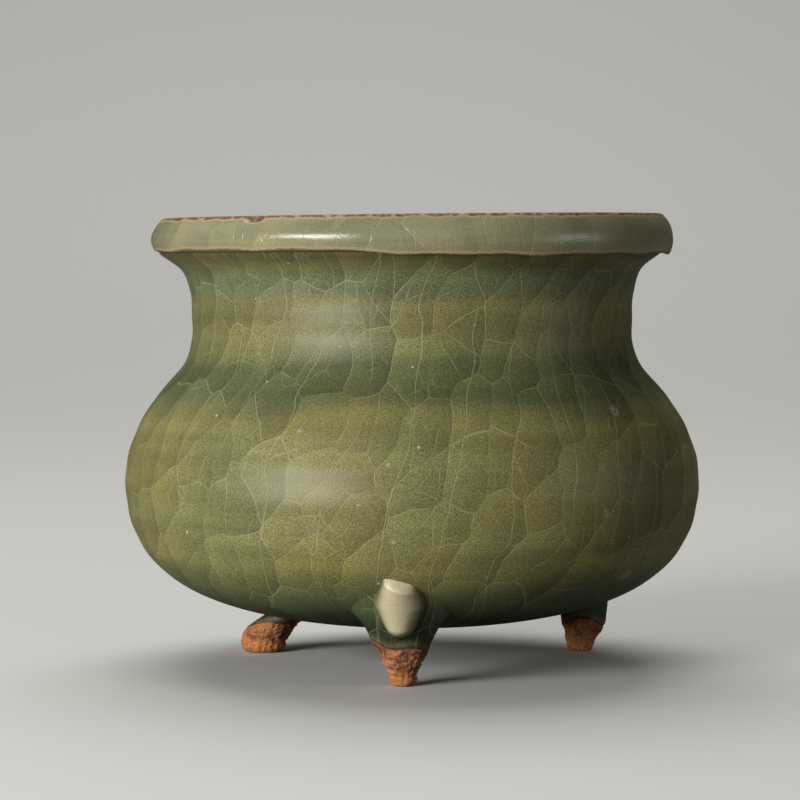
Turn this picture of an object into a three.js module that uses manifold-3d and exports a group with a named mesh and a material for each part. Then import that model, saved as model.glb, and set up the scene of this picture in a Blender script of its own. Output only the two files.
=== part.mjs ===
// A stoneware incense burner on three feet, in millimetres, +Z up, standing on z = 0.
// The pot is thrown in turned sections that are luted edge to edge: a lower bowl, a shoulder, a neck
// and a thick band for a rim. Three moulded feet, each a leaning cone down to a bare toe, are luted to the
// underside of the bowl, and the front one has a knee. The front of the pot faces -Y.
import * as THREE from "three";
import { mergeVertices } from "three/addons/utils/BufferGeometryUtils.js";
import Module from "manifold-3d";

const wasm = await Module();
wasm.setup();

// Driving dimensions of the turned pot.
const BELLY_RADIUS = 86;
const BELLY_HEIGHT = 55.5;
const BASE_RADIUS = 34;
const BASE_HEIGHT = 14;
const NECK_RADIUS = 65.8;
const NECK_HEIGHT = 101.5;
const SHOULDER_TURN_RADIUS = 75.5;
const SHOULDER_TURN_HEIGHT = 81.5;
const FLARE_RADIUS = 75.6;
const RIM_SEAT_HEIGHT = 123.6;
const RIM_RADIUS = 78.4;
const RIM_BAND_HEIGHT = 10.4;
const RIM_HEIGHT = RIM_SEAT_HEIGHT + RIM_BAND_HEIGHT;
const RIM_WIDTH = 8;
const WALL = 5.4;
const FLOOR_THICKNESS = 6.5;
const FLOOR_CORNER_RISE = 1;
const BASE_RECESS_RADIUS = 22;
const BASE_RECESS_DEPTH = 1.6;
const LIP_OVERHANG = 1.3;
const LIP_WAVE = 0.9;

// Driving dimensions of the feet.
const FOOT_ROOT_RISE = 20;
const FOOT_HEIGHT = BASE_HEIGHT + FOOT_ROOT_RISE;
const FOOT_ROOT_HALF_WIDTH = 14;
const FOOT_LEAN = 9;
const TOE_SWELL = 1.5;
const TOE_SWELL_HEIGHT = 2.2;
const KNEE_INSET = 14.5;
const KNEE_REACH = BELLY_RADIUS - KNEE_INSET;
const KNEE_RISE = 11;
const KNEE_HEIGHT = BASE_HEIGHT + KNEE_RISE;
const KNEE_HALF_WIDTH = 6.8;
const KNEE_HALF_LENGTH = 11.5;
const KNEE_DEPTH = 5.5;
const KNEE_TILT = 0.7;
const KNEE_LEDGE_DROP = 1.2;
const SEAT_GAP = 0.3;

// Steps round a turned section, and along each of its curves.
const TURN_STEPS = 56;
const CURVE_STEPS = 5;
const FOOT_STEPS = 20;

// Each foot's place is set by hand, as a potter does: how far its toe stands inside the belly's widest
// line, the angle of the foot from +X, and the half width of the bare toe where it stands. Only the front
// foot has a knee.
const FEET = [
  { name: "front_foot", inset: 32, angle: 267, toe: 2.7, knee: true },
  { name: "rear_right_foot", inset: 27, angle: 28, toe: 3.6, knee: false },
  { name: "rear_left_foot", inset: 34, angle: 152, toe: 4.4, knee: false },
];

const celadon = new THREE.MeshStandardMaterial({ color: 0x73764c, roughness: 0.34, metalness: 0 });
const rimGlaze = new THREE.MeshStandardMaterial({ color: 0x8f8f6c, roughness: 0.26, metalness: 0 });
const footGlaze = new THREE.MeshStandardMaterial({ color: 0x6f6a4a, roughness: 0.5, metalness: 0 });

const point = (r, z) => new THREE.Vector2(r, z);

// The points of one cubic curve, both of its ends among them.
function along(from, handleA, handleB, to, steps = CURVE_STEPS) {
  return new THREE.CubicBezierCurve(from, handleA, handleB, to).getPoints(steps);
}

// The pot's outer outline from the edge of its base up to the seat of the rim.
function outerOutline() {
  const base = point(BASE_RADIUS, BASE_HEIGHT);
  const widest = point(BELLY_RADIUS, BELLY_HEIGHT);
  const turn = point(SHOULDER_TURN_RADIUS, SHOULDER_TURN_HEIGHT);
  const waist = point(NECK_RADIUS, NECK_HEIGHT);
  const flare = point(FLARE_RADIUS, RIM_SEAT_HEIGHT);
  const bellyRise = BELLY_HEIGHT - BASE_HEIGHT;
  const bellySpread = BELLY_RADIUS - BASE_RADIUS;
  const shoulderRise = SHOULDER_TURN_HEIGHT - BELLY_HEIGHT;
  const neckDrop = NECK_HEIGHT - SHOULDER_TURN_HEIGHT;
  const flareRise = RIM_SEAT_HEIGHT - NECK_HEIGHT;
  const turnSlope = point(-0.65, 0.76);
  const flareSlope = point(0.74, 0.67);
  const under = along(
    base,
    point(BASE_RADIUS + bellySpread * 0.58, BASE_HEIGHT + bellyRise * 0.1),
    point(BELLY_RADIUS, BELLY_HEIGHT - bellyRise * 0.67),
    widest,
    CURVE_STEPS + 4,
  );
  const over = along(
    widest,
    point(BELLY_RADIUS, BELLY_HEIGHT + shoulderRise * 0.5),
    turn.clone().addScaledVector(turnSlope, -shoulderRise * 0.1),
    turn,
  );
  const fillet = along(
    turn,
    turn.clone().addScaledVector(turnSlope, neckDrop * 0.55),
    point(NECK_RADIUS, NECK_HEIGHT - neckDrop * 0.53),
    waist,
  );
  const mouth = along(
    waist,
    point(NECK_RADIUS, NECK_HEIGHT + flareRise * 0.86),
    flare.clone().addScaledVector(flareSlope, -flareRise * 0.38),
    flare,
  );
  return [...under, ...over.slice(1), ...fillet.slice(1), ...mouth.slice(1)];
}

// The same outline moved square to itself, inwards for a positive distance.
function offset(outline, distance) {
  return outline.map((p, i) => {
    const before = outline[Math.max(i - 1, 0)];
    const after = outline[Math.min(i + 1, outline.length - 1)];
    const run = after.clone().sub(before).normalize();
    return point(p.x - run.y * distance, p.y + run.x * distance);
  });
}

// The stretch of a rising outline between two heights, with its ends worked out on the outline.
function between(outline, low, high) {
  const at = (height) => {
    const i = outline.findIndex((p) => p.y >= height);
    const above = i < 0 ? outline[outline.length - 1] : outline[i];
    const below = i > 0 ? outline[i - 1] : above;
    const share = above.y > below.y ? (height - below.y) / (above.y - below.y) : 0;
    return point(THREE.MathUtils.lerp(below.x, above.x, Math.min(share, 1)), height);
  };
  const margin = 0.4;
  const inside = outline.filter((p) => p.y > low + margin && p.y < high - margin);
  return [at(low), ...inside, at(high)];
}

const OUTER = outerOutline();
const INNER = offset(OUTER, WALL).filter((p) => p.y > BASE_HEIGHT + FLOOR_THICKNESS);
const FLOOR_HEIGHT = BASE_HEIGHT + FLOOR_THICKNESS;

// A profile turned about the pot's axis. Its points run up the outside and down the inside.
function turned(profile, steps = TURN_STEPS) {
  return new THREE.LatheGeometry(profile, steps).rotateX(Math.PI / 2);
}

// The ring of wall between two seams, cut flat at each for luting.
function wallRing(low, high) {
  const outside = between(OUTER, low, high);
  const inside = between(INNER, low, high).reverse();
  return turned([...outside, ...inside, outside[0]]);
}

// The lower bowl with its flat floor inside and a shallow recess under the base.
function lowerBowl() {
  const outside = between(OUTER, BASE_HEIGHT, BELLY_HEIGHT);
  const firstInside = INNER[0].y + FLOOR_CORNER_RISE;
  const inside = between(INNER, firstInside, BELLY_HEIGHT).reverse();
  const floorEdge = point(inside[inside.length - 1].x - WALL, FLOOR_HEIGHT);
  return turned([
    point(0, BASE_HEIGHT + BASE_RECESS_DEPTH),
    point(BASE_RECESS_RADIUS, BASE_HEIGHT + BASE_RECESS_DEPTH),
    point(BASE_RECESS_RADIUS + BASE_RECESS_DEPTH, BASE_HEIGHT),
    ...outside,
    ...inside,
    floorEdge,
    point(0, FLOOR_HEIGHT),
  ]);
}

// The rim band. Its lower lip hangs outside the neck's flare, and its edge wanders up and down.
function rimBand() {
  const innerSeat = between(INNER, NECK_HEIGHT, RIM_SEAT_HEIGHT).at(-1).x;
  const lipInner = FLARE_RADIUS + SEAT_GAP;
  const lipOuter = FLARE_RADIUS + LIP_OVERHANG;
  const topOuter = RIM_RADIUS - RIM_BAND_HEIGHT * 0.3;
  const topInner = RIM_RADIUS - RIM_WIDTH;
  const face = along(
    point(lipOuter, RIM_SEAT_HEIGHT),
    point(RIM_RADIUS + 0.5, RIM_SEAT_HEIGHT + RIM_BAND_HEIGHT * 0.3),
    point(RIM_RADIUS + 0.3, RIM_SEAT_HEIGHT + RIM_BAND_HEIGHT * 0.6),
    point(topOuter, RIM_HEIGHT - 0.7),
    6,
  );
  const profile = [
    point(lipInner, RIM_SEAT_HEIGHT),
    ...face,
    point(topOuter - 0.9, RIM_HEIGHT),
    point(topInner + 1, RIM_HEIGHT),
    point(topInner, RIM_HEIGHT - 1),
    point(innerSeat, RIM_SEAT_HEIGHT),
    point(lipInner, RIM_SEAT_HEIGHT),
  ];
  const geometry = turned(profile);
  const position = geometry.getAttribute("position");
  for (let i = 0; i < position.count; i++) {
    const row = i % profile.length;
    const turnAngle = Math.atan2(position.getY(i), position.getX(i));
    const wave = 1 + 0.6 * Math.cos(turnAngle + 0.5) + 0.4 * Math.sin(3 * turnAngle);
    if (row === 1) position.setZ(i, RIM_SEAT_HEIGHT - LIP_WAVE * wave * 0.5);
  }
  return geometry;
}

// A closed geometry as a solid that can be joined and cut, and back again.
function solid(geometry) {
  const bare = geometry.clone();
  bare.deleteAttribute("normal");
  bare.deleteAttribute("uv");
  const merged = mergeVertices(bare, 1e-4);
  const made = new wasm.Manifold(
    new wasm.Mesh({
      numProp: 3,
      vertProperties: merged.getAttribute("position").array,
      triVerts: new Uint32Array(merged.index.array),
    }),
  );
  return made;
}

function geometryOf(made) {
  const mesh = made.getMesh();
  const geometry = new THREE.BufferGeometry();
  geometry.setAttribute("position", new THREE.BufferAttribute(mesh.vertProperties, 3));
  geometry.setIndex(new THREE.BufferAttribute(mesh.triVerts, 1));
  geometry.computeVertexNormals();
  return geometry;
}

// What the pot fills down to the luting gap, used to cut each foot to its seat.
function seatForm() {
  const skin = offset(between(OUTER, BASE_HEIGHT, SHOULDER_TURN_HEIGHT), -SEAT_GAP);
  const bottom = BASE_HEIGHT - SEAT_GAP;
  return solid(turned([point(0, bottom), point(skin[0].x, bottom), ...skin.slice(1), point(0, skin.at(-1).y)]));
}

// One foot in its own frame: the toe's centre on the origin, leaning outwards along +X as it rises.
function footGeometry(toe) {
  const stem = new THREE.CatmullRomCurve3([
    new THREE.Vector3(toe, 0, 0),
    new THREE.Vector3(toe + TOE_SWELL, TOE_SWELL_HEIGHT, 0),
    new THREE.Vector3(THREE.MathUtils.lerp(toe, FOOT_ROOT_HALF_WIDTH, 0.33), FOOT_HEIGHT * 0.27, 0),
    new THREE.Vector3(THREE.MathUtils.lerp(toe, FOOT_ROOT_HALF_WIDTH, 0.62), FOOT_HEIGHT * 0.47, 0),
    new THREE.Vector3(FOOT_ROOT_HALF_WIDTH, FOOT_HEIGHT * 0.74, 0),
    new THREE.Vector3(FOOT_ROOT_HALF_WIDTH * 0.8, FOOT_HEIGHT, 0),
  ]);
  const side = stem.getPoints(10).map((p) => point(p.x, p.y));
  side[0].y = 0;
  const geometry = turned([point(0, 0), ...side, point(0, FOOT_HEIGHT)], FOOT_STEPS);
  const position = geometry.getAttribute("position");
  for (let i = 0; i < position.count; i++) {
    const rise = position.getZ(i) / FOOT_HEIGHT;
    position.setX(i, position.getX(i) * (1 - 0.12 * rise) + FOOT_LEAN * rise * rise);
  }
  return geometry;
}

// The rounded knee, which lies along the bowl's slope and is cut level along a short ledge at its top.
// It sits on the bowl, so its place is measured from the pot's axis and not from the toe.
function kneeSolid(reach) {
  const centre = KNEE_REACH - reach;
  const ball = new THREE.SphereGeometry(1, 18, 12);
  ball.scale(KNEE_DEPTH, KNEE_HALF_WIDTH, KNEE_HALF_LENGTH);
  ball.rotateY(KNEE_TILT);
  ball.translate(centre, 0, KNEE_HEIGHT);
  const cutter = 4 * KNEE_HALF_LENGTH;
  const ledgeHeight = KNEE_HEIGHT + KNEE_HALF_LENGTH * Math.cos(KNEE_TILT) - KNEE_LEDGE_DROP;
  const above = new THREE.BoxGeometry(cutter, cutter, cutter).translate(centre, 0, ledgeHeight + cutter / 2);
  return solid(ball).subtract(solid(above));
}

function foot({ inset, angle, toe, knee }, seat) {
  const reach = BELLY_RADIUS - inset;
  const place = new THREE.Matrix4()
    .makeRotationZ(THREE.MathUtils.degToRad(angle))
    .multiply(new THREE.Matrix4().makeTranslation(reach, 0, 0));
  const stem = solid(footGeometry(toe));
  const whole = knee ? stem.add(kneeSolid(reach)) : stem;
  const placed = solid(geometryOf(whole).applyMatrix4(place));
  const pieces = placed.subtract(seat).decompose();
  const lowest = pieces.reduce((a, b) => (a.boundingBox().min[2] < b.boundingBox().min[2] ? a : b));
  return geometryOf(lowest);
}

function piece(name, geometry, material) {
  const mesh = new THREE.Mesh(geometry, material);
  mesh.name = name;
  return mesh;
}

const burner = new THREE.Group();
const seat = seatForm();
burner.add(
  piece("lower_bowl", lowerBowl(), celadon),
  piece("shoulder", wallRing(BELLY_HEIGHT, NECK_HEIGHT), celadon),
  piece("neck", wallRing(NECK_HEIGHT, RIM_SEAT_HEIGHT), celadon),
  piece("rim_band", rimBand(), rimGlaze),
  ...FEET.map((place) => piece(place.name, foot(place, seat), footGlaze)),
);

export default burner;
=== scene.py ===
"""Looks for a tripod incense burner: a crackled green glaze over turned stoneware, on three bare-toed feet."""

import math
from typing import NamedTuple

import bmesh
import bpy
import numpy as np
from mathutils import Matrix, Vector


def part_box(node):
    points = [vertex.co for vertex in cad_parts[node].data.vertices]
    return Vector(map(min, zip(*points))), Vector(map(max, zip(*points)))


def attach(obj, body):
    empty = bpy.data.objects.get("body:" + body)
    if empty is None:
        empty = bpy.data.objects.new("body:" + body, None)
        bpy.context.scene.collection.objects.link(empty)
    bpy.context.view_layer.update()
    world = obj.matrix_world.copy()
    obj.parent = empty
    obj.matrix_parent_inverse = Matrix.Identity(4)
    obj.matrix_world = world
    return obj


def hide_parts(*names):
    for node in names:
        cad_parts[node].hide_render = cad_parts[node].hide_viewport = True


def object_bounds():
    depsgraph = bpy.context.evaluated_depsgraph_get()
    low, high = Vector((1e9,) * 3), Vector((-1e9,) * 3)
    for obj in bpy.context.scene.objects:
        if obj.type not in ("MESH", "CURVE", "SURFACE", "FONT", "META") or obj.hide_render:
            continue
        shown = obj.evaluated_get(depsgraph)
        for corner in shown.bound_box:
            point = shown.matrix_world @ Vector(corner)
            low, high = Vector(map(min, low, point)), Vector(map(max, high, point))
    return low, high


bl_info = {
    "name": "Tripod incense burner",
    "version": (1, 0, 0),
    "blender": (4, 5, 0),
    "location": "View3D > Sidebar > Burner",
    "description": "Builds a glazed tripod incense burner around its packed frame",
    "category": "Object",
}

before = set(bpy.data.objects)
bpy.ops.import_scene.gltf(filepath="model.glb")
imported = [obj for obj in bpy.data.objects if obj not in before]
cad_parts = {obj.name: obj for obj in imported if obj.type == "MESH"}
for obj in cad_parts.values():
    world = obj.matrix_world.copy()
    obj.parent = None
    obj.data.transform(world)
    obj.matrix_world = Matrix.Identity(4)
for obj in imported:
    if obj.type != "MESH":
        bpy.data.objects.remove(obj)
FRAME_LOW, FRAME_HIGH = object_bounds()
MM = 0.001
POT_TOP = FRAME_HIGH.z / MM
BELLY_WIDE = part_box("lower_bowl")[1].x / MM
BELLY_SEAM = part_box("lower_bowl")[1].z / MM
BASE_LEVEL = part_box("lower_bowl")[0].z / MM
NECK_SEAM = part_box("shoulder")[1].z / MM
RIM_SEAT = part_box("neck")[1].z / MM
RIM_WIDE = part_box("rim_band")[1].x / MM
FLARE_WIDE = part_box("neck")[1].x / MM
WALL = 5.4
SHARP_ANGLE = 1.15
FLOOR_LEVEL = BASE_LEVEL + 6.5


class BurnerShape(bpy.types.PropertyGroup):
    """Sizes of the surface that the frame leaves open."""

    base_radius: bpy.props.FloatProperty(
        name="Base radius", description="Half the base's width", default=0.034, unit="LENGTH"
    )
    neck_radius: bpy.props.FloatProperty(
        name="Neck radius", description="Half the waist's width", default=0.0658, unit="LENGTH"
    )
    turn_radius: bpy.props.FloatProperty(
        name="Shoulder turn", description="Radius where the shoulder turns hollow", default=0.0755, unit="LENGTH"
    )
    turn_height: bpy.props.FloatProperty(
        name="Shoulder turn height", description="Height where the shoulder turns hollow", default=0.0815,
        unit="LENGTH",
    )
    wander: bpy.props.FloatProperty(
        name="Hand wander", description="How far the thrown wall wanders", default=0.00028, unit="LENGTH"
    )
    rim_tilt: bpy.props.FloatProperty(
        name="Rim tilt", description="Rise of the rim towards +X, per unit of width", default=0.011
    )


class BurnerColours(bpy.types.PropertyGroup):
    """Colours of the glaze and the clay."""

    olive: bpy.props.FloatVectorProperty(
        name="Olive glaze", description="Glaze where it runs thin", subtype="COLOR", default=(0.25, 0.222, 0.074)
    )
    green: bpy.props.FloatVectorProperty(
        name="Pooled glaze", description="Glaze where it pools", subtype="COLOR", default=(0.11, 0.135, 0.056)
    )
    # Painted shade: a near-black colour laid under the belly, where the wall turns away from the light.
    deep: bpy.props.FloatVectorProperty(
        name="Painted under-belly shade", description="Near-black glaze painted as shade under the belly", subtype="COLOR", default=(0.04, 0.052, 0.024)
    )
    rim: bpy.props.FloatVectorProperty(
        name="Rim glaze", description="Paler glaze of the rim band", subtype="COLOR", default=(0.33, 0.305, 0.17)
    )
    crack: bpy.props.FloatVectorProperty(
        name="Crack line", description="Pale line of a crack", subtype="COLOR", default=(0.5, 0.46, 0.25)
    )
    clay: bpy.props.FloatVectorProperty(
        name="Burnt clay", description="Bare clay at the toes", subtype="COLOR", default=(0.44, 0.18, 0.08)
    )


def smooth(low, high, x):
    """The smooth step: 0 below low, 1 above high, 3t^2 - 2t^3 between."""
    t = np.clip((x - low) / (high - low), 0, 1)
    return t * t * (3 - 2 * t)


def bezier(p0, p1, p2, p3, steps):
    """A cubic curve: each point is the sum of the four handles under Bernstein weights."""
    t = np.linspace(0, 1, steps + 1)[:, None]
    p0, p1, p2, p3 = (np.array(p, float) for p in (p0, p1, p2, p3))
    return (1 - t) ** 3 * p0 + 3 * (1 - t) ** 2 * t * p1 + 3 * (1 - t) * t**2 * p2 + t**3 * p3


def ripples(points, wavelength, count, seed):
    """Lumps between -1 and 1: the mean of sine waves in seeded directions through space."""
    rng = np.random.default_rng(seed)
    ways = rng.normal(size=(count, 3))
    ways /= np.linalg.norm(ways, axis=1)[:, None]
    lengths = wavelength * rng.uniform(0.6, 1.6, count)
    phases = rng.uniform(0, 2 * np.pi, count)
    waves = np.sin(points @ (ways / lengths[:, None]).T * 2 * np.pi + phases)
    return waves.sum(axis=-1) / math.sqrt(count) * 0.7


def outer_outline(shape, steps=90):
    """The pot's outer outline in millimetres, four cubic curves from the base's edge to the rim's seat."""
    base = np.array((shape.base_radius / MM, BASE_LEVEL))
    wide = np.array((BELLY_WIDE, BELLY_SEAM))
    turn = np.array((shape.turn_radius, shape.turn_height)) / MM
    waist = np.array((shape.neck_radius / MM, NECK_SEAM))
    flare = np.array((FLARE_WIDE, RIM_SEAT))
    turn_way, flare_way = np.array((-0.65, 0.76)), np.array((0.74, 0.67))
    rise, spread = wide[1] - base[1], wide[0] - base[0]
    over, drop, lift = turn[1] - wide[1], waist[1] - turn[1], flare[1] - waist[1]
    curves = [
        bezier(base, base + (spread * 0.58, rise * 0.1), wide - (0, rise * 0.67), wide, steps),
        bezier(wide, wide + (0, over * 0.5), turn - turn_way * over * 0.1, turn, steps),
        bezier(turn, turn + turn_way * drop * 0.55, waist - (0, drop * 0.53), waist, steps),
        bezier(waist, waist + (0, lift * 0.86), flare - flare_way * lift * 0.38, flare, steps),
    ]
    return np.vstack([curves[0]] + [c[1:] for c in curves[1:]])


def moved_in(outline, distance):
    """The outline moved square to itself by distance, towards the pot's axis."""
    run = np.gradient(outline, axis=0)
    run /= np.linalg.norm(run, axis=1)[:, None]
    return outline + np.stack([-run[:, 1], run[:, 0]], axis=1) * distance


def stretch(outline, low, high, steps):
    """Evenly spaced points of a rising outline between two heights."""
    z = np.linspace(low, high, steps)
    return np.stack([np.interp(z, outline[:, 1], outline[:, 0]), z], axis=1)


def wandered(points, shape):
    """The thrown wall's wander and the rim's tilt, at the turning angle a and the height z.

    The radius grows by w (0.6 sin(2a + 0.7 + 0.02z) + 0.4 sin(3a - 0.9) + 0.35 sin(0.62z + 0.5 sin a)),
    and near the rim the height grows by the tilt times x.
    """
    x, y, z = points.T
    angle, radius = np.arctan2(x, -y), np.hypot(x, y)
    lobes = 0.6 * np.sin(2 * angle + 0.7 + z * 0.02) + 0.4 * np.sin(3 * angle - 0.9)
    rings = 0.35 * np.sin(z * 0.62 + 0.5 * np.sin(angle)) * smooth(18, 30, z)
    grow = shape.wander / MM * (lobes + rings) * smooth(20, 60, radius)
    share = 1 + grow / np.maximum(radius, 1)
    lean = shape.rim_tilt * x * smooth(95, POT_TOP, z)
    return np.stack([x * share, y * share, z + lean], axis=1)


def grid_faces(rows, columns, wrap_rows):
    """Quads over a grid that wraps round its columns, and round its rows where wrap_rows says so."""
    last = rows if wrap_rows else rows - 1
    i, j = np.meshgrid(np.arange(last), np.arange(columns), indexing="ij")
    k, m = (i + 1) % rows, (j + 1) % columns
    return np.stack([i * columns + j, i * columns + m, k * columns + m, k * columns + j], axis=-1).reshape(-1, 4)


def make_piece(name, points, faces, values, node, material):
    """Puts points in millimetres into a mesh piece with its float values, and lets it stand for its node."""
    mesh = bpy.data.meshes.new(name)
    mesh.from_pydata((points * MM).tolist(), [], faces)
    for key, value in values.items():
        layer = mesh.attributes.new(key, "FLOAT", "POINT")
        layer.data.foreach_set("value", np.asarray(value, np.float32))
    mesh.update()
    if mesh_volume(mesh) < 0:
        mesh.flip_normals()
    mesh.polygons.foreach_set("use_smooth", [True] * len(mesh.polygons))
    mesh.set_sharp_from_angle(angle=SHARP_ANGLE)
    mesh.materials.append(material)
    piece = bpy.data.objects.new(name, mesh)
    bpy.context.scene.collection.objects.link(piece)
    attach(piece, "root")
    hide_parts(node)
    return piece


def mesh_volume(mesh):
    """The signed volume: a sixth of the sum of each face's triple products."""
    bm = bmesh.new()
    bm.from_mesh(mesh)
    volume = bm.calc_volume(signed=True)
    bm.free()
    return volume


def turned_points(profile, columns):
    """Each profile point (r, z) carried round the pot's axis: x = r sin a, y = -r cos a."""
    angle = np.linspace(0, 2 * np.pi, columns, endpoint=False)
    r, z = profile[:, 0:1], profile[:, 1:2]
    x, y = r * np.sin(angle), -r * np.cos(angle)
    return np.stack([x, y, np.broadcast_to(z, x.shape)], axis=-1).reshape(-1, 3)


# Node helpers: each adds one node and wires what it is given.


def add_node(tree, kind, inputs=None, **settings):
    """Adds a node, sets its properties, and wires or sets its inputs."""
    made = tree.nodes.new(kind)
    for key, value in settings.items():
        setattr(made, key, value)
    for key, value in (inputs or {}).items():
        if isinstance(value, bpy.types.NodeSocket):
            tree.links.new(value, made.inputs[key])
        else:
            made.inputs[key].default_value = value
    return made


def maths(tree, operation, a, b=None, c=None):
    """One Math node's output."""
    inputs = {i: v for i, v in enumerate((a, b, c)) if v is not None}
    return add_node(tree, "ShaderNodeMath", inputs, operation=operation).outputs[0]


def span(tree, value, low, high, to_low=0.0, to_high=1.0):
    """A smooth Map Range's output."""
    inputs = {"Value": value, "From Min": low, "From Max": high, "To Min": to_low, "To Max": to_high}
    return add_node(tree, "ShaderNodeMapRange", inputs, interpolation_type="SMOOTHSTEP").outputs["Result"]


def blended(tree, factor, a, b, mode="MIX"):
    """A colour Mix's output."""
    made = tree.nodes.new("ShaderNodeMix")
    made.data_type, made.blend_type = "RGBA", mode
    for index, value in ((0, factor), (6, a), (7, b)):
        if isinstance(value, bpy.types.NodeSocket):
            tree.links.new(value, made.inputs[index])
        elif index == 0:
            made.inputs[0].default_value = value
        else:
            made.inputs[index].default_value = (*value, 1)
    return made.outputs[2]


def noise(tree, vector, scale, detail=2.0, rough=0.5):
    """A Noise texture's value."""
    inputs = {"Vector": vector, "Scale": scale, "Detail": detail, "Roughness": rough}
    return add_node(tree, "ShaderNodeTexNoise", inputs).outputs["Fac"]


def new_group(name, inputs, outputs):
    """A shader node group with named float, vector or colour sockets; returns it with its in and out nodes."""
    group = bpy.data.node_groups.new(name, "ShaderNodeTree")
    for label, kind in inputs:
        group.interface.new_socket(name=label, in_out="INPUT", socket_type=kind)
    for label, kind in outputs:
        group.interface.new_socket(name=label, in_out="OUTPUT", socket_type=kind)
    return group, group.nodes.new("NodeGroupInput"), group.nodes.new("NodeGroupOutput")


def crackle_group():
    """Long cracks that climb the pot, and polygons of short ones between them.

    The wall is unrolled to s = 540 fract(turn + 1/2 - Slant z / 540) and z, after noise has bent the
    point a little. A long crack lies at each whole step of s. The short cracks are the edges of a
    Voronoi net over (s, z), and each cell carries painted shade, lighter at one side and darker at
    the other, like scales tilted to the light.
    """
    group, given, result = new_group(
        "Crackle",
        [("Vector", "NodeSocketVector"), *((n, "NodeSocketFloat") for n in ("Cracks", "Slant", "Cell", "Width"))],
        [(n, "NodeSocketFloat") for n in ("Lines", "Tone", "Tilt")],
    )
    t, vector = group, given.outputs["Vector"]
    around = 540.0

    def bent(place, scale, depth):
        colour = add_node(t, "ShaderNodeTexNoise", {"Vector": vector, "Scale": scale, "Detail": 1.0}).outputs["Color"]
        offset = add_node(t, "ShaderNodeVectorMath", {0: colour, 1: (0.5,) * 3}, operation="SUBTRACT").outputs[0]
        inputs = {0: offset, 1: (depth,) * 3, 2: place}
        return add_node(t, "ShaderNodeVectorMath", inputs, operation="MULTIPLY_ADD").outputs[0]

    axes = add_node(t, "ShaderNodeSeparateXYZ", {0: bent(bent(vector, 0.03, 15.0), 0.1, 2.0)}).outputs
    turn = maths(t, "DIVIDE", maths(t, "ARCTAN2", axes[0], maths(t, "MULTIPLY", axes[1], -1.0)), 2 * math.pi)
    climb = maths(t, "MULTIPLY_ADD", axes[2], maths(t, "DIVIDE", given.outputs["Slant"], -around), 0.5)
    share = maths(t, "FRACT", maths(t, "ADD", turn, climb))
    s = maths(t, "MULTIPLY", share, around)
    u = maths(t, "FRACT", maths(t, "MULTIPLY", share, given.outputs["Cracks"]))
    pitch = maths(t, "DIVIDE", around, given.outputs["Cracks"])
    near_long = maths(t, "MULTIPLY", maths(t, "MINIMUM", u, maths(t, "SUBTRACT", 1.0, u)), pitch)
    cell = given.outputs["Cell"]
    plan = add_node(t, "ShaderNodeCombineXYZ", {0: maths(t, "DIVIDE", s, cell),
                                                1: maths(t, "DIVIDE", axes[2], maths(t, "MULTIPLY", cell, 1.25))})
    net = dict(voronoi_dimensions="2D")
    wall = {"Vector": plan.outputs[0], "Scale": 1.0, "Randomness": 0.95}
    edges = add_node(t, "ShaderNodeTexVoronoi", wall, feature="DISTANCE_TO_EDGE", **net).outputs["Distance"]
    cells = add_node(t, "ShaderNodeTexVoronoi", wall, feature="F1", **net).outputs
    # Painted shade: the distance across each cell from its centre makes one side of the cell lighter and the other
    # darker, as if each glaze plate were tilted to the light.
    away = add_node(t, "ShaderNodeVectorMath", {0: plan.outputs[0], 1: cells["Position"]}, operation="SUBTRACT")
    tilt = add_node(t, "ShaderNodeVectorMath", {0: away.outputs[0], 1: (-1.0, 0.7, 0.0)}, operation="DOT_PRODUCT")
    width = given.outputs["Width"]

    def line(distance, part):
        thin = maths(t, "MULTIPLY", width, part)
        near = maths(t, "SUBTRACT", 1.0, maths(t, "DIVIDE", distance, thin))
        return maths(t, "MINIMUM", maths(t, "MULTIPLY", maths(t, "MAXIMUM", near, 0.0), 1.8), 1.0)

    fade = span(t, noise(t, vector, 0.09, 2.0), 0.34, 0.6, 0.2, 1.0)
    small = add_node(t, "ShaderNodeVectorMath", {0: plan.outputs[0], 1: (1.9, 1.7, 0.0)}, operation="MULTIPLY")
    fine = {"Vector": small.outputs[0], "Scale": 1.0, "Randomness": 1.0}
    fine = add_node(t, "ShaderNodeTexVoronoi", fine, feature="DISTANCE_TO_EDGE", **net).outputs["Distance"]
    fine = line(maths(t, "MULTIPLY", fine, maths(t, "MULTIPLY", cell, 0.55)), 0.8)
    fine = maths(t, "MULTIPLY", fine, span(t, noise(t, vector, 0.06, 1.0), 0.5, 0.64, 0.0, 0.7))
    short = maths(t, "MULTIPLY", line(maths(t, "MULTIPLY", edges, cell), 1.0), fade)
    short = maths(t, "MAXIMUM", short, fine)
    long = maths(t, "MULTIPLY", line(near_long, 1.15), span(t, noise(t, vector, 0.04, 1.0), 0.36, 0.5, 0.25, 1.0))
    t.links.new(maths(t, "MAXIMUM", long, short), result.inputs["Lines"])
    t.links.new(add_node(t, "ShaderNodeSeparateColor", {0: cells["Color"]}).outputs[0], result.inputs["Tone"])
    t.links.new(tilt.outputs["Value"], result.inputs["Tilt"])
    return group


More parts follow.
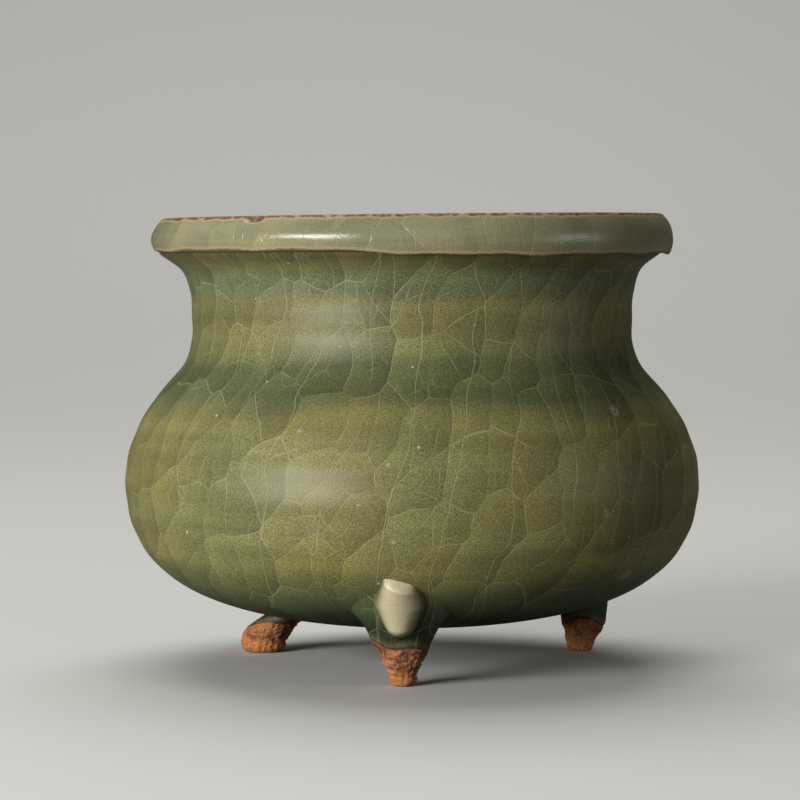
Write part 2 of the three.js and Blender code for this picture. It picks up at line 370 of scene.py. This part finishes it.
def speckle_group():
    """The glaze's bubbles: fine light and dark grains, and a few pale pits."""
    group, given, result = new_group(
        "Glaze speckle",
        [("Vector", "NodeSocketVector"), ("Grain", "NodeSocketFloat")],
        [(n, "NodeSocketFloat") for n in ("Grains", "Pits", "Salt")],
    )
    t, vector = group, given.outputs["Vector"]
    fine = noise(t, vector, given.outputs["Grain"], 2.0, 0.7)
    pits = add_node(t, "ShaderNodeTexVoronoi", {"Vector": vector, "Scale": 0.11, "Randomness": 1.0})
    size = noise(t, vector, 0.3, 0.0)
    near = maths(t, "SUBTRACT", maths(t, "MULTIPLY", size, 0.075), pits.outputs["Distance"])
    t.links.new(fine, result.inputs["Grains"])
    salt = noise(t, vector, 4.4, 0.0)
    t.links.new(span(t, salt, 0.72, 0.8), result.inputs["Salt"])
    t.links.new(maths(t, "GREATER_THAN", near, 0.0), result.inputs["Pits"])
    return group


# Pale marks where the glaze has pitted: how far each lies to the right of the axis, its height and its size.
MARKS_MM = [
    (57.2, 78.3, 2.4), (54.0, 50.4, 1.6), (60.8, 31.0, 3.2),
    (-31.3, 73.8, 1.0), (-7.0, 65.0, 0.8), (-5.5, 43.8, 0.8),
]
# The brown stain that runs down the left of the belly: its place and how far it spreads each way.
STAIN_MM, STAIN_SPREAD = (-57.0, -63.0, 57.0), (0.28, 0.28, 0.09)


def marks_group():
    """Pale granular marks on the front of the wall, each a noisy disc about its own place."""
    group, given, result = new_group("Marks", [("Vector", "NodeSocketVector")], [("Mask", "NodeSocketFloat")])
    t, vector = group, given.outputs["Vector"]
    outline = outer_outline(bpy.context.scene.burner_shape)
    total = 0.0
    for x, z, size in MARKS_MM:
        r = float(np.interp(z, outline[:, 1], outline[:, 0]))
        place = (x, -math.sqrt(r * r - x * x), z)
        away = add_node(t, "ShaderNodeVectorMath", {0: vector, 1: place}, operation="DISTANCE").outputs["Value"]
        total = maths(t, "MAXIMUM", span(t, away, size, size * 0.5), total)
    grain = span(t, noise(t, vector, 2.6, 1.0, 0.8), 0.42, 0.56)
    t.links.new(maths(t, "MULTIPLY", total, grain), result.inputs["Mask"])
    return group


def clay_group():
    """Bare clay: burnt orange and brown patches, dark grit and pale sand."""
    group, given, result = new_group(
        "Burnt clay",
        [("Vector", "NodeSocketVector"), ("Clay", "NodeSocketColor")],
        [("Color", "NodeSocketColor"), ("Height", "NodeSocketFloat")],
    )
    t, vector, clay = group, given.outputs["Vector"], given.outputs["Clay"]
    patch = span(t, noise(t, vector, 0.22, 3.0), 0.38, 0.62)
    brown = blended(t, 1.0, clay, (0.5, 0.38, 0.36), "MULTIPLY")
    bright = blended(t, 1.0, clay, (1.5, 1.35, 1.1), "MULTIPLY")
    body = blended(t, patch, brown, bright)
    grit = noise(t, vector, 1.7, 3.0, 0.75)
    low = add_node(t, "ShaderNodeSeparateXYZ", {0: vector}).outputs[2]
    body = blended(t, maths(t, "MULTIPLY", span(t, low, 5.5, 3.0), 0.8), body, (0.75, 0.27, 0.07))
    body = blended(t, span(t, grit, 0.52, 0.66), body, (0.55, 0.36, 0.25))
    body = blended(t, span(t, grit, 0.42, 0.32), body, (0.03, 0.014, 0.01))
    t.links.new(body, result.inputs["Color"])
    t.links.new(grit, result.inputs["Height"])
    return group


def millimetres(tree):
    """Object coordinates scaled to millimetres, on which every pattern here is laid."""
    place = add_node(tree, "ShaderNodeTexCoord").outputs["Object"]
    return add_node(tree, "ShaderNodeVectorMath", {0: place, 1: (1000,) * 3}, operation="MULTIPLY").outputs[0]


def grouped(tree, group, inputs):
    """Places a node group and wires its inputs; returns its outputs."""
    made = add_node(tree, "ShaderNodeGroup", node_tree=group)
    for key, value in inputs.items():
        if isinstance(value, bpy.types.NodeSocket):
            tree.links.new(value, made.inputs[key])
        else:
            made.inputs[key].default_value = value
    return made.outputs


def glaze_material(name, colours, rim=False):
    """Green glaze in zones by height, with painted shade at the waist and under the belly, crackled with painted shade
    across each cell, speckled, paled over the knee by wear and a painted highlight, and wearing to burnt clay where
    Bare says.
    """
    material = bpy.data.materials.new(name)
    material.use_nodes = True
    t = material.node_tree
    t.nodes.clear()
    mm = millimetres(t)
    height = add_node(t, "ShaderNodeSeparateXYZ", {0: mm}).outputs[2]
    drift = maths(t, "MULTIPLY_ADD", maths(t, "SUBTRACT", noise(t, mm, 0.03, 2.0), 0.5), 13.0, height)

    def zone(low, high, soft):
        return maths(t, "MULTIPLY", span(t, drift, low - soft, low + soft), span(t, drift, high + soft, high - soft))

    if rim:
        body = blended(t, span(t, noise(t, mm, 0.05, 2.0), 0.4, 0.65), colours.rim, (0.27, 0.27, 0.155))
    else:
        body = blended(t, span(t, noise(t, mm, 0.025, 2.0), 0.42, 0.66), colours.olive, (0.205, 0.198, 0.073))
        # Painted shade: the waist between shoulder and flare is painted a darker olive-grey.
        body = blended(t, maths(t, "MULTIPLY", zone(97, 109, 4), 0.75), body, (0.185, 0.17, 0.064))
        body = blended(t, maths(t, "MULTIPLY", zone(79, 96, 5), 0.85), body, colours.green)
        body = blended(t, maths(t, "MULTIPLY", zone(110, 119, 3), 0.75), body, (0.12, 0.15, 0.08))
        body = blended(t, span(t, drift, 38, 20), body, (0.105, 0.135, 0.065))
        away = add_node(t, "ShaderNodeVectorMath", {0: mm, 1: STAIN_MM}, operation="SUBTRACT").outputs[0]
        away = add_node(t, "ShaderNodeVectorMath", {0: away, 1: STAIN_SPREAD}, operation="MULTIPLY").outputs[0]
        away = add_node(t, "ShaderNodeVectorMath", {0: away}, operation="LENGTH").outputs["Value"]
        stain = maths(t, "MULTIPLY", span(t, away, 1.0, 0.2), span(t, noise(t, mm, 0.3, 2.0), 0.35, 0.6))
        body = blended(t, maths(t, "MULTIPLY", stain, 0.5), body, (0.16, 0.095, 0.035))
        # Painted shade: the wall is painted near black from 24 mm down to 15 mm, under the belly.
        body = blended(t, span(t, drift, 24, 15), body, colours.deep)
        body = blended(t, span(t, drift, 119, 123), body, (0.15, 0.125, 0.05))
    crackle = grouped(t, bpy.data.node_groups["Crackle"], {
        "Vector": mm, "Cracks": 48.0 if rim else 30.0, "Slant": 0.0 if rim else 0.2,
        "Cell": 11.0 if rim else 11.5, "Width": 0.2,
    })
    grains = grouped(t, bpy.data.node_groups["Glaze speckle"], {"Vector": mm, "Grain": 3.8})
    streak = add_node(t, "ShaderNodeVectorMath", {0: mm, 1: (0.012, 0.012, 0.16)}, operation="MULTIPLY").outputs[0]
    tone = maths(t, "MULTIPLY_ADD", crackle["Tone"], 0.14, 0.93)
    tone = maths(t, "MULTIPLY", tone, span(t, noise(t, streak, 1.0, 3.0), 0.3, 0.7, 0.86, 1.12))
    # Painted shade: each crackle cell is made lighter at one side and darker at the other.
    tone = maths(t, "MULTIPLY", tone, maths(t, "MULTIPLY_ADD", crackle["Tilt"], 0.05 if rim else 0.23, 1.0))
    deep = 0.2 if rim else 0.48
    tone = maths(t, "MULTIPLY", tone, span(t, grains["Grains"], 0.37, 0.63, 1 - deep, 1 + deep))
    tint = add_node(t, "ShaderNodeCombineColor", {0: tone, 1: tone, 2: tone}).outputs[0]
    body = blended(t, 1.0, body, tint, "MULTIPLY")
    body = blended(t, maths(t, "MULTIPLY", crackle["Lines"], 0.22 if rim else 0.38), body, colours.crack)
    body = blended(t, maths(t, "MULTIPLY", grains["Salt"], 0.1 if rim else 0.4), body, (0.66, 0.66, 0.45))
    body = blended(t, maths(t, "MULTIPLY", grains["Pits"], 0.8), body, (0.62, 0.6, 0.42))
    if not rim:
        body = blended(t, maths(t, "MULTIPLY", grouped(t, bpy.data.node_groups["Marks"], {"Vector": mm})[0], 0.8),
                       body, (0.52, 0.49, 0.33))
    # Paler glaze over the front knee: on its ledge this is worn thin glaze, and on its front it is partly wear and
    # partly a painted highlight where the knee faces the key light.
    knee = add_node(t, "ShaderNodeAttribute", attribute_name="KneeWearAndHighlight").outputs["Fac"]
    knee_wear_and_highlight = maths(t, "MULTIPLY", knee, span(t, noise(t, mm, 0.12, 3.0), 0.3, 0.5, 0.75, 1.0))
    body = blended(t, span(t, knee_wear_and_highlight, 0.1, 0.6, 0.0, 0.95), body, (0.74, 0.65, 0.41))
    body = blended(t, span(t, knee_wear_and_highlight, 0.72, 0.86, 0.0, 0.9), body, (0.86, 0.76, 0.5))
    thin = add_node(t, "ShaderNodeAttribute", attribute_name="Thin").outputs["Fac"]
    broken = maths(t, "MULTIPLY", thin, span(t, noise(t, mm, 0.5, 3.0), 0.25, 0.6, 0.55, 1.0))
    body = blended(t, span(t, broken, 0.0, 0.45, 0.0, 0.85), body, (0.5, 0.38, 0.2))
    body = blended(t, span(t, broken, 0.4, 0.95), body, (0.16, 0.06, 0.022))
    clay = grouped(t, bpy.data.node_groups["Burnt clay"], {"Vector": mm, "Clay": (*colours.clay, 1)})
    bare = add_node(t, "ShaderNodeAttribute", attribute_name="Bare").outputs["Fac"]
    bare = span(t, bare, 0.3, 0.7)
    colour = blended(t, bare, body, clay["Color"])
    hem = maths(t, "MULTIPLY", maths(t, "MULTIPLY", bare, maths(t, "SUBTRACT", 1.0, bare)), 3.6)
    colour = blended(t, hem, colour, (0.09, 0.03, 0.014))
    rough = span(t, grains["Grains"], 0.3, 0.7, 0.14 if rim else 0.36, 0.24 if rim else 0.52)
    rough = maths(t, "ADD", rough, maths(t, "MULTIPLY", broken, 0.5))
    rough = maths(t, "MAXIMUM", rough, maths(t, "MULTIPLY", bare, 0.88))
    relief = maths(t, "MULTIPLY_ADD", crackle["Lines"], -0.05, maths(t, "MULTIPLY", grains["Grains"], 0.03))
    relief = maths(t, "ADD", relief, maths(t, "MULTIPLY", grains["Pits"], -0.1))
    relief = maths(t, "MULTIPLY_ADD", maths(t, "MULTIPLY", bare, clay["Height"]), 0.9, relief)
    bump = add_node(t, "ShaderNodeBump", {"Height": relief, "Distance": MM, "Strength": 0.8}).outputs[0]
    shader = add_node(t, "ShaderNodeBsdfPrincipled", {"Base Color": colour, "Roughness": rough, "Normal": bump})
    shader.inputs["Specular IOR Level"].default_value = 0.5 if rim else 0.34
    out = add_node(t, "ShaderNodeOutputMaterial")
    t.links.new(shader.outputs[0], out.inputs[0])
    return material


def material_named(name, rim=False):
    """The glaze material of that name, made once, with the groups that it uses."""
    if name in bpy.data.materials:
        return bpy.data.materials[name]
    for label, maker in (("Crackle", crackle_group), ("Glaze speckle", speckle_group), ("Burnt clay", clay_group),
                         ("Marks", marks_group)):
        if label not in bpy.data.node_groups:
            maker()
    return glaze_material(name, bpy.context.scene.burner_colours, rim)


def build_turned(name, profile, columns, values, node, material):
    """Turns a closed profile into a piece of the pot, with one value per profile point."""
    shape = bpy.context.scene.burner_shape
    points = wandered(turned_points(profile, columns), shape)
    faces = grid_faces(len(profile), columns, True).tolist()
    spread = {key: np.repeat(value, columns) for key, value in values.items()}
    return make_piece(name, points, faces, spread, node, material)


def wall_profile(low, high, outside_steps, inside_steps):
    """A closed ring of wall between two seams: up the outside, then down the inside."""
    outline = outer_outline(bpy.context.scene.burner_shape)
    inner = moved_in(outline, WALL)
    return np.vstack([stretch(outline, low, high, outside_steps), stretch(inner, low, high, inside_steps)[::-1]])


class BURNER_OT_bowl(bpy.types.Operator):
    """Turn the lower bowl, with its recessed base and its bare floor inside"""

    bl_idname = "burner.bowl"
    bl_label = "Lower bowl"

    def execute(self, context):
        shape = context.scene.burner_shape
        outline = outer_outline(shape)
        inner = moved_in(outline, WALL)
        inner = inner[inner[:, 1] > FLOOR_LEVEL + 2.5]
        outside = stretch(outline, BASE_LEVEL, BELLY_SEAM, 130)
        inside = stretch(inner, inner[0, 1], BELLY_SEAM, 60)[::-1]
        floor = bezier(inside[-1], inside[-1] - (6, 2.2), (inside[-1, 0] - 12, FLOOR_LEVEL), (20, FLOOR_LEVEL), 24)[1:]
        recess = BASE_LEVEL + 1.6
        under = np.array([(0.05, recess), (14, recess), (21, recess), (22.5, BASE_LEVEL + 0.4), (24, BASE_LEVEL)])
        profile = np.vstack([under, outside, inside, floor, [(0.05, FLOOR_LEVEL)]])
        on_floor = (profile[:, 1] > FLOOR_LEVEL - 1) & (profile[:, 0] < 40)
        on_floor[: len(under) + len(outside)] = False
        foot_ring = np.abs(profile[:, 0] - 28) < 5
        foot_ring &= profile[:, 1] < BASE_LEVEL + 0.8
        build_turned(
            "glazed_lower_bowl", profile, 300, {"Bare": on_floor | foot_ring, "Thin": np.zeros(len(profile))},
            "lower_bowl", material_named("Celadon glaze"),
        )
        return {"FINISHED"}


class BURNER_OT_shoulder(bpy.types.Operator):
    """Turn the shoulder from the belly's seam up to the waist"""

    bl_idname = "burner.shoulder"
    bl_label = "Shoulder"

    def execute(self, context):
        profile = wall_profile(BELLY_SEAM, NECK_SEAM, 150, 50)
        zeros = np.zeros(len(profile))
        build_turned(
            "glazed_shoulder", profile, 300, {"Bare": zeros, "Thin": zeros},
            "shoulder", material_named("Celadon glaze"),
        )
        return {"FINISHED"}


class BURNER_OT_neck(bpy.types.Operator):
    """Turn the neck and its flare up to the rim's seat"""

    bl_idname = "burner.neck"
    bl_label = "Neck"

    def execute(self, context):
        profile = wall_profile(NECK_SEAM, RIM_SEAT, 110, 40)
        zeros = np.zeros(len(profile))
        build_turned(
            "glazed_neck", profile, 300, {"Bare": zeros, "Thin": zeros},
            "neck", material_named("Celadon glaze"),
        )
        return {"FINISHED"}


CHIP_ANGLE, CHIP_HALF_WIDTH, CHIP_DEPTH = -0.63, 3.4, 1.3


class BURNER_OT_rim(bpy.types.Operator):
    """Turn the rim band, with its wandering lower lip, its burnt arris and one small chip

    The lip rises by 0.8 (1.5 - 2.4 s(a) + 0.35 sin 9a sin(2.3a + 1) + 0.2 sin 23a) at the angle a, where s
    steps from 0 to 1 left of the front, and the chip is a parabola cut into the top corner"""

    bl_idname = "burner.rim"
    bl_label = "Rim band"

    def execute(self, context):
        shape = context.scene.burner_shape
        columns = 480
        band = POT_TOP - RIM_SEAT
        top_out, top_in = RIM_WIDE - band * 0.3, RIM_WIDE - 8
        inner = moved_in(outer_outline(shape), WALL)
        seat_in = np.interp(RIM_SEAT, inner[:, 1], inner[:, 0])
        face = bezier(
            (FLARE_WIDE + 1.3, RIM_SEAT - 0.4), (RIM_WIDE + 0.5, RIM_SEAT + band * 0.3),
            (RIM_WIDE + 0.3, RIM_SEAT + band * 0.6), (top_out, POT_TOP - 0.7), 34,
        )
        arris = bezier(face[-1], face[-1] + (-0.3, 0.55), (top_out - 0.8, POT_TOP), (top_out - 1.5, POT_TOP), 8)[1:]
        edge_in = bezier(
            (top_in + 1.4, POT_TOP), (top_in + 0.4, POT_TOP), (top_in, POT_TOP - 0.4), (top_in, POT_TOP - 1.4), 8
        )
        down = bezier(edge_in[-1], edge_in[-1] - (0, 3), (seat_in + 1, RIM_SEAT + 3), (seat_in, RIM_SEAT), 20)[1:]
        lip = np.array([(FLARE_WIDE - 0.6, RIM_SEAT), (FLARE_WIDE + 0.7, RIM_SEAT - 0.55)])
        profile = np.vstack([lip, face, arris, edge_in, down])
        points = turned_points(profile, columns)
        angle = np.arctan2(points[:, 0], -points[:, 1])
        low = 1 - smooth(RIM_SEAT, RIM_SEAT + band * 0.8, points[:, 2])
        outer_side = np.hypot(points[:, 0], points[:, 1]) > FLARE_WIDE
        step = smooth(-0.35, 0.12, angle) * (1 - smooth(1.9, 2.8, angle))
        edge = 1.5 - 2.4 * step + 0.35 * np.sin(9 * angle) * np.sin(2.3 * angle + 1) + 0.2 * np.sin(23 * angle)
        points[:, 2] += edge * low * outer_side * 0.8
        reach = (angle - CHIP_ANGLE) * RIM_WIDE / CHIP_HALF_WIDTH
        corner = smooth(POT_TOP - 2.2, POT_TOP - 0.3, points[:, 2])
        corner *= np.hypot(points[:, 0], points[:, 1]) > top_out - 2
        chip = np.clip(1 - reach**2, 0, 1) * corner
        points[:, :2] *= (1 - chip * CHIP_DEPTH / RIM_WIDE)[:, None]
        points[:, 2] -= chip * CHIP_DEPTH
        rough = ripples(points, 5.0, 24, 5)
        top_edge = smooth(POT_TOP - 1.5, POT_TOP - 0.35, turned_points(profile, columns)[:, 2] + 0.35 * rough)
        lower_edge = np.repeat(
            np.concatenate([[0, 0.3], np.clip(1 - np.arange(len(profile) - 2) / 4, 0, 1) * 0.75]), columns
        )
        thin = np.maximum(np.maximum(top_edge * 0.9, lower_edge), chip * 4.0)
        faces = grid_faces(len(profile), columns, True).tolist()
        make_piece(
            "glazed_rim", wandered(points, shape), faces, {"Bare": np.zeros(len(points)), "Thin": np.clip(thin, 0, 1)},
            "rim_band", material_named("Rim glaze", rim=True),
        )
        return {"FINISHED"}


class Foot(NamedTuple):
    """A foot in millimetres: its toe's reach from the axis, its angle from +X in degrees, the radius of its
    flat sole and of the ring above, its calf's swell, how high its bare clay goes, how lumpy it is, its
    root's height on the bowl, half length along the slope and half width, how far it leans out, and how
    far its knee stands out."""

    reach: float
    degrees: float
    sole: float
    ring: float
    calf: float
    bare_to: float
    lump: float
    root_height: float
    root_length: float
    root_width: float
    lean: float
    knee: float


FEET = {
    "front_foot": Foot(54.0, 267.0, 2.3, 3.9, 3.2, 11.5, 0.25, 24.0, 17.0, 17.0, 1.0, 4.6),
    "rear_right_foot": Foot(59.0, 28.0, 2.8, 4.3, 4.0, 8.5, 0.3, 20.5, 11.0, 10.0, 3.4, 0.0),
    "rear_left_foot": Foot(52.0, 152.0, 4.4, 6.8, 1.4, 9.2, 0.2, 14.9, 7.6, 10.0, -1.6, 0.0),
}
KNEE_HALF_WIDTH, KNEE_LOW, KNEE_WIDEST, KNEE_TOP = 6.9, 14.0, 25.0, 33.5
LEDGE_SLOPE, LEDGE_HALF_WIDTH, LEDGE_DROP = 0.3, 3.8, 3.0


def foot_surface(foot, seed):
    """A foot as a trumpet: curves leave the bowl along its skin and turn down to the ring of the toe.

    Each is (1-t)^3 S + 3(1-t)^2 t F + 3(1-t) t^2 B + t^3 R. S lies on the bowl round the foot's root, F
    further along the skin towards the foot's middle, B above the toe's ring, and R on the ring. The toe
    then rounds under, r = ring - (ring - sole)(1 - cos b) and z = h(1 - sin b), to a flat sole. The knee
    stands out by (1 - (y/w)^2)^0.6, cut off along a sloping ledge at its top.
    """
    outline = moved_in(outer_outline(bpy.context.scene.burner_shape), 0.7)
    length = np.concatenate([[0], np.cumsum(np.linalg.norm(np.diff(outline, axis=0), axis=1))])
    middle = np.interp(foot.root_height, outline[:, 1], length)
    rows, columns = 110, 200
    phi = np.linspace(0, 2 * np.pi, columns, endpoint=False)
    t = np.linspace(0, 1, rows)[:, None]

    def skin(share):
        along = middle + foot.root_length * np.cos(phi) * share
        r = np.interp(along, length, outline[:, 0])
        z = np.interp(along, length, outline[:, 1])
        side = foot.root_width * np.sin(phi) * share / r
        return np.stack([r * np.cos(side), r * np.sin(side), z], axis=-1)

    ring_height = 3.0
    across, aside = np.cos(phi), np.sin(phi)
    ring = np.stack([foot.reach + foot.ring * across, foot.ring * aside, np.full(columns, ring_height)], axis=-1)
    start, first = skin(1.0), skin(0.7)
    before = ring + np.stack([across * foot.calf + foot.lean, aside * foot.calf, np.full(columns, 7.0)], axis=-1)
    t3 = t[..., None]
    wall = (1 - t3) ** 3 * start + 3 * (1 - t3) ** 2 * t3 * first + 3 * (1 - t3) * t3**2 * before + t3**3 * ring
    out = np.array((0.92, 0.0, -0.3))
    y, z = wall[..., 1], wall[..., 2]
    top = KNEE_TOP - LEDGE_SLOPE * y
    wide = KNEE_HALF_WIDTH * np.sqrt(np.clip((z - KNEE_LOW) / (KNEE_WIDEST - KNEE_LOW), 1e-3, 1))
    wide = wide * (1 - 0.32 * smooth(KNEE_WIDEST, KNEE_TOP, z))
    outside = smooth(0.0, 0.5, np.cos(phi))
    knee = np.clip(1 - (y / wide) ** 2, 0, 1) ** 0.6 * (1 - smooth(top - LEDGE_DROP, top, z)) * outside
    knee *= smooth(KNEE_LOW, KNEE_LOW + 5.0, z) * (foot.knee > 0)
    facet = np.exp(-((y / LEDGE_HALF_WIDTH) ** 6)) * smooth(top - LEDGE_DROP - 0.3, top - LEDGE_DROP + 0.3, z)
    facet *= (1 - smooth(top - 0.5, top + 0.1, z)) * outside
    facet *= foot.knee > 0
    wall = wall + (knee * foot.knee)[..., None] * out
    under = np.linspace(0, 1, 14)[1:, None, None]
    bend = under * np.pi / 2
    tuck = foot.ring - (foot.ring - foot.sole) * (1 - np.cos(bend))
    sole = np.concatenate([
        foot.reach + tuck * across[None, :, None], tuck * aside[None, :, None],
        ring_height * (1 - np.sin(bend)) + 0 * phi[None, :, None],
    ], axis=-1)
    flat = sole[-1:] * 1.0
    flat[..., 0] = foot.reach + (flat[..., 0] - foot.reach) * 0.02
    flat[..., 1] *= 0.02
    points = np.concatenate([wall, sole, flat]).reshape(-1, 3)
    row_count = rows + len(sole) + 1
    a = math.radians(foot.degrees)
    turn = np.array(((math.cos(a), math.sin(a), 0), (-math.sin(a), math.cos(a), 0), (0, 0, 1)))
    around = np.tile(phi, row_count)
    hem = foot.bare_to + 1.4 * np.sin(around + seed) + 0.8 * np.sin(3 * around + 2 * seed)
    bare = smooth(0.6, -0.6, points[:, 2] - hem)
    centre = np.array((foot.reach, 0, 0))
    away = points - centre
    away[:, 2] = 0
    away /= np.maximum(np.linalg.norm(away, axis=1), 1e-6)[:, None]
    rough = ripples(points, 4.5, 20, seed) * foot.lump + ripples(points, 1.5, 40, seed + 1) * 0.28
    rough *= bare * smooth(0.0, 1.2, points[:, 2])
    thick = 0.35 * (1 - bare) * smooth(hem + 4, hem, points[:, 2])
    points = points + away * (rough + thick)[:, None]
    # Pale mask over the knee: the ledge's facet for worn glaze, and the knee's front for wear and a painted highlight.
    pale = np.maximum(knee * 0.68, facet).ravel()
    pale = np.concatenate([pale, np.zeros(len(points) - len(pale))])
    thin = 0.16 * np.exp(-(((points[:, 2] - hem - 1.2) / 1.1) ** 2))
    return points @ turn, row_count, columns, {"Bare": bare, "Thin": thin, "KneeWearAndHighlight": pale}


class BURNER_OT_feet(bpy.types.Operator):
    """Model the three feet: a knee under the glaze, and a rough bare toe"""

    bl_idname = "burner.feet"
    bl_label = "Feet"

    def execute(self, context):
        for seed, (node, foot) in enumerate(FEET.items(), start=3):
            points, rows, columns, masks = foot_surface(foot, seed)
            faces = grid_faces(rows, columns, False).tolist()
            faces.append(list(range(columns)))
            faces.append(list(range((rows - 1) * columns, rows * columns)))
            make_piece(
                "glazed_" + node, points, faces, masks,
                node, material_named("Celadon glaze"),
            )
        return {"FINISHED"}


HORIZON_ROW, AXIS_COLUMN, FOCAL_PX, FRAME_PX, MM_PER_PX, EYE_PX = 250.0, 412.3, 3200.0, 800.0, 0.3, 413.0


class BURNER_OT_stage(bpy.types.Operator):
    """Set the floor, the soft lights and the camera at the eye level of the rim"""

    bl_idname = "burner.stage"
    bl_label = "Stage"

    def execute(self, context):
        scene = context.scene
        scene.view_settings.view_transform = "Standard"
        bend = bezier((0.6, 0), (1.6, 0), (1.7, 0.1), (1.7, 1.2), 24)
        path = np.vstack([[(-3.2, 0)], bend, [(1.7, 2.6)]])
        x = np.array((-3.0, 3.0))
        points = np.stack([np.tile(x, len(path)), np.repeat(path[:, 0], 2), np.repeat(path[:, 1], 2)], axis=1)
        i = np.arange(len(path) - 1) * 2
        faces = np.stack([i, i + 1, i + 3, i + 2], axis=1).tolist()
        mesh = bpy.data.meshes.new("sweep")
        mesh.from_pydata(points.tolist(), [], faces)
        mesh.polygons.foreach_set("use_smooth", [True] * len(mesh.polygons))
        paper = bpy.data.materials.new("Paper")
        paper.use_nodes = True
        tree = paper.node_tree
        seen = add_node(tree, "ShaderNodeLightPath").outputs["Is Camera Ray"]
        shader = tree.nodes["Principled BSDF"]
        tree.links.new(blended(tree, seen, (0.11, 0.11, 0.1), (0.84, 0.83, 0.79)), shader.inputs["Base Color"])
        shader.inputs["Roughness"].default_value = 0.9
        mesh.materials.append(paper)
        floor = bpy.data.objects.new("sweep", mesh)
        scene.collection.objects.link(floor)
        self.light("key", (-0.85, -0.92, 0.28), (0.6, 0.42), 15.5)
        self.light("fill", (1.14, -0.37, 0.24), (0.5, 0.35), 1.1)
        self.light("top", (-0.1, 0.7, 1.5), (1.6, 1.2), 16.0)
        world = bpy.data.worlds.new("Studio")
        world.use_nodes = True
        world.node_tree.nodes["Background"].inputs[0].default_value = (1, 1, 1, 1)
        world.node_tree.nodes["Background"].inputs[1].default_value = 0.06
        scene.world = world
        camera = bpy.data.cameras.new("camera")
        camera.sensor_width = 36.0
        camera.lens = FOCAL_PX / FRAME_PX * camera.sensor_width
        eye = bpy.data.objects.new("camera", camera)
        scene.collection.objects.link(eye)
        pitch = math.atan((FRAME_PX / 2 - HORIZON_ROW) / FOCAL_PX)
        aside = (FRAME_PX / 2 - AXIS_COLUMN) * MM_PER_PX * MM
        eye.location = (aside, -FOCAL_PX * MM_PER_PX * MM, EYE_PX * MM_PER_PX * MM)
        eye.rotation_euler = (math.pi / 2 - pitch, 0, 0)
        scene.camera = eye
        return {"FINISHED"}

    def light(self, name, place, size, power):
        """A soft box at place, aimed at the pot's middle."""
        data = bpy.data.lights.new(name, "AREA")
        data.shape = "RECTANGLE"
        data.size, data.size_y, data.energy = size[0], size[1], power
        lamp = bpy.data.objects.new(name, data)
        bpy.context.scene.collection.objects.link(lamp)
        aim = np.array((0, 0, POT_TOP * MM / 2)) - np.array(place)
        lamp.location = place
        flat = math.hypot(aim[0], aim[1])
        lamp.rotation_euler = (math.atan2(flat, -aim[2]), 0, math.atan2(aim[1], aim[0]) - math.pi / 2)


class BURNER_PT_panel(bpy.types.Panel):
    """Lists the burner's sizes, colours and pieces"""

    bl_label = "Incense burner"
    bl_idname = "BURNER_PT_panel"
    bl_space_type = "VIEW_3D"
    bl_region_type = "UI"
    bl_category = "Burner"

    def draw(self, context):
        for group in (context.scene.burner_shape, context.scene.burner_colours):
            for key in group.bl_rna.properties.keys():
                if key not in ("name", "rna_type"):
                    self.layout.prop(group, key)
        for operator in OPERATORS:
            self.layout.operator(operator.bl_idname)


OPERATORS = (
    BURNER_OT_stage, BURNER_OT_bowl, BURNER_OT_shoulder, BURNER_OT_neck, BURNER_OT_rim, BURNER_OT_feet,
)
CLASSES = (BurnerShape, BurnerColours, *OPERATORS, BURNER_PT_panel)


def register():
    """Registers the classes and hangs the settings on the scene."""
    for item in CLASSES:
        bpy.utils.register_class(item)
    bpy.types.Scene.burner_shape = bpy.props.PointerProperty(type=BurnerShape)
    bpy.types.Scene.burner_colours = bpy.props.PointerProperty(type=BurnerColours)


def unregister():
    """Takes the settings off the scene and unregisters the classes."""
    del bpy.types.Scene.burner_shape
    del bpy.types.Scene.burner_colours
    for item in reversed(CLASSES):
        bpy.utils.unregister_class(item)


def main():
    """Builds the stage and every piece."""
    register()
    bpy.ops.burner.stage()
    bpy.ops.burner.bowl()
    bpy.ops.burner.shoulder()
    bpy.ops.burner.neck()
    bpy.ops.burner.rim()
    bpy.ops.burner.feet()


if __name__ == "__main__":
    main()
